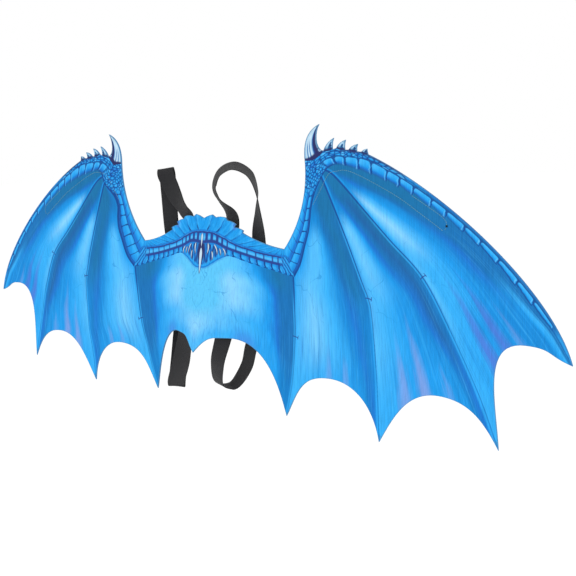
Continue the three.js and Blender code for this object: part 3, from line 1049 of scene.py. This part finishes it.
def paintHeart(colour, x, z, wobble):
    # a dark hollow with a soft blue border, and the fangs that hang in it
    rise = readMark("bandIn") + wobble * 0.5
    down = 0.0 - readMark("ruffUp")
    inHeart = fade(x, *heart["sideUntil"]) * fade(rise, -0.3, 0.3) * fade(down, *heart["topFrom"])
    streak = noise(joinPlace(x * 0.42, z * 0.06, 4.2), 1.0, detail=2)
    flesh = ramp(streak, [(0.34, "plum"), (0.46, "line"), (0.55, "royal"), (0.66, "bright")])
    throat = fade(x, *heart["throatUntil"]) * fade(z, *heart["throatFrom"])
    flesh = mixInk(throat, flesh, "plum")
    border = ramp(rise / 10, [(0.0, "azure"), (0.08, "royal"), (0.2, "azure"), (0.55, "bright")])
    scales = noise(joinPlace(x * 0.3, z * 0.3, 8.1), 1.0)
    border = mixInk(fade(scales, 0.5, 0.62) * 0.7, border, "royal")
    flesh = mixInk(fade(rise, *heart["borderUntil"]), flesh, border)
    colour = mixInk(inHeart, colour, flesh)
    halo = fade(abs(rise + 0.6), 2.2, 0.4) * fade(x, 40, 30) * fade(x, 1.5, 5) * fade(z, 66, 58)
    colour = mixInk(halo * 0.35, colour, "royal")
    for fang in fangs:
        (topX, topZ), (bendX, bendZ), (pointX, pointZ) = (fang[name] for name in ("top", "bend", "point"))
        fall = (topZ - z) / (topZ - pointZ)
        knee = (topZ - bendZ) / (topZ - pointZ)
        # a parabola through the three stops
        bow = (bendX - topX - (pointX - topX) * knee) / (knee * (knee - 1))
        lineX = fall * (fall - 1) * bow + fall * (pointX - topX) + topX
        inside = fade(fall, -0.03, 0.05) * fade(fall, 1.03, 0.95)
        half = maths("MAXIMUM", (1 - fall * fall) * fade(fall, -0.15, 0.25) * fang["half"], 0.1)
        off = abs(x - lineX)
        colour = mixInk(inside * fade(off - half, 1.5, 0.2) * 0.85, colour, "plum")
        colour = mixInk(inside * fade(off, half + 0.3, half - 0.4) * 0.95, colour, "bone")
    return colour


def paintRuff(colour, wobble):
    # overlapping pointed leaves with veins, parted by short dark lines at the foot
    drawn = readMark("leaf")
    leaf = drawn + wobble * 0.08
    high = readMark("leafUp")
    u = maths("FRACT", leaf)
    vein = noise(joinPlace(drawn * 5, high * 1.6), 1.0, detail=3)
    leafInk = ramp(u, [(0.0, "royal"), (0.1, "ocean"), (0.3, "azure"), (0.75, "azure"),
                       (0.95, "bright"), (0.99, "azure")])
    leafInk = mixInk(fade(vein, 0.5, 0.7) * 0.6, leafInk, "bright")
    leafInk = mixInk(fade(vein, 0.5, 0.3) * 0.6, leafInk, "blue")
    tinge = fade(abs(leaf - 3.05), 0.5, 0.1) * fade(high, 0.72, 0.92)
    leafInk = mixInk(tinge * 0.6, leafInk, "violet")
    parting = smaller(u, 1 - u, 0.02)
    taper = fade(high, 0.75, 0.05) * 0.09
    worn = fade(noise(joinPlace(drawn * 1.7, high * 2, 5.0), 1.0), 0.3, 0.55) * 0.7 + 0.3
    leafInk = mixInk(fade(parting - taper, 0.02, -0.03) * fade(high, 0.75, 0.2) * worn, leafInk, "line")
    leafInk = mixInk(fade(u, 0.7, 0.95) * fade(high, 0.55, 0.9) * 0.5, leafInk, "sky")
    leafInk = mixInk(stroke(readMark("ruffUp") - wobble - 1.0, 2.4) * 0.8, leafInk, "royal")
    onRuff = fade(readMark("ruffUp"), -0.3, 0.3) * fade(readMark("elbow"), 0.3, -0.3)
    return mixInk(onRuff, colour, leafInk)


hornShadow = {
    "width": (3.2, 0.6),
    "from": (19, 31),  # past the wrist
    "until": (113, 97),
}


def paintHorns(colour):
    beyond = readMark("hornIn")
    across = readMark("hornAcross")
    high = readMark("hornUp")
    hornInk = ramp(across, [(0.0, "deep"), (0.07, "frost"), (0.16, "ice"), (0.5, "ice"), (0.57, "frost"),
                            (0.63, "navy"), (0.72, "plum"), (0.88, "plum"), (1.0, "frost")])
    for groove in (0.24, 0.4):
        line = fade(abs(across - groove), 0.055, 0.02) * fade(high, 0.75, 0.45)
        hornInk = mixInk(line * 0.9, hornInk, "deep")
    spikeInk = ramp(across, [(0.0, "deep"), (0.12, "frost"), (0.26, "ice"), (0.36, "frost"),
                             (0.43, "teal"), (0.52, "plum"), (1.0, "plum")])
    spikeInk = mixInk(fade(high, 0.5, 0.15) * 0.7, spikeInk, "teal")
    spikeInk = mixInk(fade(high, 0.28, 0.1), spikeInk, "plum")
    hornInk = mixInk(readMark("spike"), hornInk, spikeInk)
    hornInk = mixInk(fade(high - across * 0.16, 0.12, 0.04), hornInk, "plum")
    hornInk = mixInk(fade(high, 0.72, 1.0) * 0.55, hornInk, "hornTip")
    past = readMark("armPast")
    shadow = fade(0.0 - beyond, *hornShadow["width"])
    shadow = shadow * fade(past, *hornShadow["from"]) * fade(past, *hornShadow["until"])
    onWing = fade(readMark("elbow"), 0, 2) * fade(readMark("armUp"), 5, 8)
    colour = mixInk(shadow * onWing * 0.8, colour, "plum")
    return mixInk(fade(beyond, -0.4, 0.4) * onWing, colour, hornInk)


felt = {
    "wobble": 2.4,  # of the unsteady hand, in all
    "wobbleScale": 0.16,
    "edgeWidth": 1.2,
    "nap": 1800,
    "streaks": (700, 700, 45),
    "mottle": 1400,
}


def printedFace():
    startMaterial("felt_print")
    place = objectPlace()
    x = readMark("printX")
    z = readMark("printZ")
    wobbleScale = felt["wobbleScale"]
    wobble = (noise(joinPlace(x * wobbleScale, z * wobbleScale), 1.0) - 0.5) * felt["wobble"]
    colour = paintMembrane(x, z)
    colour = paintRibs(colour)
    colour = paintKnuckles(colour, x, z)
    colour = paintArm(colour, wobble)
    colour = paintBand(colour, x, z, wobble)
    colour = paintHeart(colour, x, z, wobble)
    colour = paintRuff(colour, wobble)
    colour = paintHorns(colour)
    edge = fade(readMark("rim"), felt["edgeWidth"], felt["edgeWidth"] / 3)
    colour = mixInk(edge * (0.6 - readMark("spike") * 0.2), colour, "cutEdge")
    grain = feltGrain(colour, place)
    return finishMaterial(grain, 0.92, noise(place, felt["nap"], detail=3), bumpDepth=0.12)


def feltGrain(colour, place):
    # upright streaks where the ink took unevenly, and a fine mottle
    brushed = noise(stretchPlace(place, felt["streaks"]), 1.0, detail=3, roughness=0.6)
    mottle = noise(place, felt["mottle"], detail=2)
    light = (brushed - 0.5) * 0.55 + (mottle - 0.5) * 0.25 + 1.0
    return mixInk(1.0, colour, joinPlace(light, light, light), "MULTIPLY")


def feltFibres(place):
    x, y, z = splitPlace(place)
    height = None
    for turn in (12, 71, 128):
        c = math.cos(math.radians(turn))
        s = math.sin(math.radians(turn))
        strand = noise(joinPlace((x * c + z * s) * 2600, y * 2600, (z * c - x * s) * 420), 1.0, detail=2)
        height = strand if height is None else height + strand
    return height / 3


def plainFelt(name, shade, light):
    startMaterial(name)
    place = objectPlace()
    fibres = feltFibres(place)
    cloud = noise(place, 60, detail=3)
    colour = mixInk(fade(fibres, 0.35, 0.65), shade, light)
    colour = mixInk(fade(cloud, 0.35, 0.7) * 0.25, colour, shade)
    return finishMaterial(colour, 0.95, fibres, bumpDepth=0.2, sheen=0.1)


# elastic shoulder loops

elastic = {
    "width": 25,
    "thickness": 1.5,
    "gap": 0.6,
    "ribs": 13,
    "ribDepth": 0.16,
}

# Stops along each loop: x, y, z, turn and tilt; a stop with x and z alone lies on the back of the felt
loopTable = {
    "strap_right": [
        (39.5, -40), (40, -20), (40.5, 0), (41, 20), (41.5, 40), (41.5, 60), (41, 76),
        (36, 3, 96, -12, 0), (14, 7, 119, -45, 0), (3.5, 11, 136, -40, 0), (11, 13, 154, -46, -16),
        (36, 13, 163, -57, -20), (60, 14, 153, -66, -14), (71, 14, 131, -62, 0), (72, 14, 105, -40, 0),
        (71, 15, 65, -10, 0), (74, 20, 0, -10, 0), (65, 14, -50, -12, 0), (57, 6, -80, -14, 0),
        (48, 4, -110, -18, 0), (28.5, -4, -137, -24, 0), (17, -17, -133, -22, 0), (21, -25, -102, -8, 0),
        (32, -24, -66, 6, 0),
    ],
    "strap_left": [
        (-37, -40), (-38, -20), (-38.5, 0), (-39, 20), (-38.5, 40), (-38, 60), (-39, 76),
        (-36, 0, 92, -16, 0), (-47, 2, 105, -16, 0), (-58, 2, 121, -2, 0), (-67.5, 2.5, 138, 8, 4),
        (-76.5, 3, 155, 16, 8), (-78, 6, 161, 16, 8), (-79, 9.5, 155, 16, 8), (-80.5, 12, 125, 12, 4),
        (-82, 15, 70, 8, 0), (-82, 24, 0, 0, 0), (-76, 16, -60, 12, 0), (-73.5, 8, -92, 26, 0),
        (-76.5, -1.5, -149, 33, -8), (-75, -4.5, -155, 33, -8), (-73, -8, -149, 33, -8),
        (-48, -19, -104, 16, -4), (-36, -23, -66, -6, 0),
    ],
}


def onFelt(stop):
    if len(stop) > 2:
        return stop
    x, z = stop
    reach = 0.5
    turn = math.atan2(backDepth(x + reach, z) - backDepth(x - reach, z), 2 * reach)
    y = backDepth(x, z) + (elastic["gap"] + elastic["thickness"] / 2) / math.cos(turn)
    return (x, y, z, math.degrees(turn), 0)


def closedRun(stops, parts):
    # a smooth closed line, evenly eased by the root of each distance
    stops = np.array(stops, float)
    count = len(stops)
    run = []
    for i in range(count):
        a, b, c, d = (stops[(i + k) % count] for k in (-1, 0, 1, 2))
        before, here, after = (max(np.linalg.norm(q - p) ** 0.5, 1e-2) for p, q in ((a, b), (b, c), (c, d)))
        leave = ((b - a) / before - (c - a) / (before + here) + (c - b) / here) * here
        arrive = ((c - b) / here - (d - b) / (here + after) + (d - c) / after) * here
        t = np.linspace(0, 1, parts, endpoint=False)[:, None]
        bend = 3 * (c - b) - 2 * leave - arrive
        twist = 2 * (b - c) + leave + arrive
        run.append(b + leave * t + bend * t**2 + twist * t**3)
    return np.vstack(run)


def bandSection():
    # half of the band's outline, left to right, with its ribs; the other face mirrors it
    across = np.linspace(-1, 1, elastic["ribs"] * 4 + 1)
    ribs = 1 - np.abs(np.cos(across * elastic["ribs"] * math.pi / 2))
    rim = np.sqrt(np.clip((1 - np.abs(across)) * 14, 0, 1))
    height = (elastic["thickness"] / 2 - elastic["ribDepth"] * ribs**2) * (0.45 + 0.55 * rim)
    return across * elastic["width"] / 2, height


def makeStrap(node):
    rows = np.array([onFelt(stop) for stop in loopTable[node]])
    parts = 9
    middle = closedRun(rows[:, :3], parts)
    turn, tilt = np.radians(closedRun(rows[:, 3:], parts)).T
    ahead = np.roll(middle, -1, axis=0) - np.roll(middle, 1, axis=0)
    ahead /= np.linalg.norm(ahead, axis=1)[:, None]
    width = np.column_stack([np.cos(turn) * np.cos(tilt), np.sin(turn) * np.cos(tilt), np.sin(tilt)])
    width -= np.sum(width * ahead, axis=1)[:, None] * ahead
    width /= np.linalg.norm(width, axis=1)[:, None]
    through = np.cross(ahead, width)
    across, height = bandSection()
    aside = np.concatenate([across, across[::-1]])
    out = np.concatenate([height, -height[::-1]])
    places = middle[:, None] + aside[None, :, None] * width[:, None] + out[None, :, None] * through[:, None]
    around = len(aside)
    rings = len(middle)
    faces = [(i * around + j, i * around + (j + 1) % around,
              (i + 1) % rings * around + (j + 1) % around, (i + 1) % rings * around + j)
             for i in range(rings) for j in range(around)]
    strap = buildMesh(node + "_elastic", places.reshape(-1, 3), faces)
    mesh = strap.data
    travelled = np.concatenate([[0], np.cumsum(np.linalg.norm(np.diff(middle, axis=0), axis=1))])
    total = travelled[-1] + np.linalg.norm(middle[0] - middle[-1])
    layer = mesh.uv_layers.new(name="band")
    for face in mesh.polygons:
        ring = face.index // around
        for corner in face.loop_indices:
            vertex = mesh.loops[corner].vertex_index
            far = travelled[vertex // around] if vertex // around >= ring else total
            layer.data[corner].uv = (aside[vertex % around], far)
    faceOutwards(50)
    mesh.materials.append(elasticWeave())
    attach(strap, "root")
    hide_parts(node)
    print(node, "loop:", round(float(total)), "mm round")
    return middle, width, through


def elasticWeave():
    known = bpy.data.materials.get("elastic_weave")
    if known:
        return known
    startMaterial("elastic_weave")
    aside, along, _ = splitPlace(Wire(addNode("ShaderNodeUVMap", uv_map="band").outputs[0]))
    rib = abs(maths("SINE", aside * (elastic["ribs"] * math.pi / elastic["width"])))
    pick = maths("SINE", along * 7.5 + maths("SIGN", maths("SINE", aside * 3.4)) * 1.57)
    fuzz = noise(joinPlace(aside * 3, along * 0.8), 1.0, detail=3)
    tone = fade(pick, -0.6, 0.9) * 0.45 + fade(fuzz, 0.3, 0.7) * 0.35 + rib * 0.2
    colour = ramp(tone, [(0.0, "0e0e10"), (0.5, "1e1e21"), (1.0, "303033")])
    selvedge = fade(abs(aside), elastic["width"] / 2 - 1.6, elastic["width"] / 2 - 0.4)
    colour = mixInk(selvedge * 0.5, colour, "141416")
    return finishMaterial(colour, 0.85, pick * 0.5 + fuzz * 0.5, bumpDepth=0.12, sheen=0.15)


# thread of the stitched channel along each arm, and of the strap ends

stitching = {
    "pitch": 2.7,
    "length": 2.2,
    "radius": 0.3,
    "sides": 6,
    # share along and swelling of each ring
    "form": [(0.0, 0.4), (0.2, 0.9), (0.5, 1.0), (0.8, 0.9), (1.0, 0.4)],
    "channel": [
        [(166, 116), (177, 134), (188, 152), (198, 156), (220, 155), (273, 130), (307, 108), (333, 90)],
        [(295, 129), (314, 117), (332, 105), (336, 97), (333, 90)],
    ],
    "knot": (336, 96),
    "knotTurns": (10, 70, 130),
    "knotLength": 3.6,
    "boxInset": 3,  # from the sides of the strap
    "boxRings": ((2, 14), (42, 54)),  # sections of the band between which each box is sewn
}


def addStitch(corners, faces, start, end, out):
    # a spindle from start to end, sunk at both ends
    way = end - start
    aside = np.cross(way / np.linalg.norm(way), out)
    first = len(corners)
    sides = stitching["sides"]
    for share, swelling in stitching["form"]:
        middle = start + way * share + out * stitching["radius"] * (math.sin(math.pi * share) - 0.4)
        for number in range(sides):
            angle = 2 * math.pi * number / sides
            spoke = aside * math.cos(angle) + out * math.sin(angle)
            corners.append(middle + spoke * stitching["radius"] * swelling)
    rings = len(stitching["form"])
    for ring in range(rings - 1):
        low = first + ring * sides
        for number in range(sides):
            after = (number + 1) % sides
            faces.append((low + number, low + after, low + sides + after, low + sides + number))
    faces.append(tuple(range(first + sides - 1, first - 1, -1)))
    faces.append(tuple(range(first + (rings - 1) * sides, first + rings * sides)))


def sewAlong(corners, faces, run, out):
    # stitches at even steps along a line of places
    lengths = np.concatenate([[0], np.cumsum(np.linalg.norm(np.diff(run, axis=0), axis=1))])
    for start in np.arange(0, lengths[-1] - stitching["length"], stitching["pitch"]):
        end = start + stitching["length"]
        begin, close = (np.array([np.interp(at, lengths, axis) for axis in run.T]) for at in (start, end))
        addStitch(corners, faces, begin, close, out)


def makeThread(name, corners, faces, shade, light):
    thread = buildMesh(name, corners, faces)
    mesh = thread.data
    faceOutwards(60)
    startMaterial(name + "_twist")
    x, y, z = splitPlace(objectPlace())
    twist = noise(joinPlace(x * 2500, y * 900, z * 2500), 1.0)
    colour = mixInk(fade(twist, 0.35, 0.65), shade, light)
    mesh.materials.append(finishMaterial(colour, 0.7, twist, bumpDepth=0.05))
    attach(thread, "root")
    print(name + ":", len(mesh.polygons), "faces")


def sewChannels():
    corners = []
    faces = []
    for side in (1, -1):
        for stops in stitching["channel"]:
            x, z = smoothRun(stops, 1.5).T
            front = np.column_stack([x * side, panelDepth(x, z), z])
            sewAlong(corners, faces, front, np.array([0, -1, 0]))
            sewAlong(corners, faces, front + (0, panel["thickness"], 0), np.array([0, 1, 0]))
    makeThread("channel_stitching", corners, faces, "558ca4", "84b0b2")


def sewStraps(bands):
    # a box at each end of the run that is sewn to the felt, and a dark knot at the end of one channel
    corners = []
    faces = []
    aside = elastic["width"] / 2 - stitching["boxInset"]
    for middle, width, through in bands:
        for first, last in stitching["boxRings"]:
            rings = list(range(first, last + 1))
            out = through[rings].mean(0)
            out *= np.sign(out[1]) / np.linalg.norm(out)
            lift = middle[rings] + out * (elastic["thickness"] / 2 - elastic["ribDepth"])
            left = lift - width[rings] * aside
            right = lift + width[rings] * aside
            sewAlong(corners, faces, np.vstack([left, right[::-1], left[:1]]), out)
    x, z = stitching["knot"]
    centre = np.array([x, float(panelDepth(x, z)) - 0.2, z])
    for turn in np.radians(stitching["knotTurns"]):
        reach = np.array([math.cos(turn), 0, math.sin(turn)]) * stitching["knotLength"] / 2
        addStitch(corners, faces, centre - reach, centre + reach, np.array([0, -1, 0]))
    makeThread("strap_stitching", corners, faces, "0c0c0e", "232326")


setCamera()
setStage()
makePanel()
sewChannels()
sewStraps([makeStrap(node) for node in loopTable])
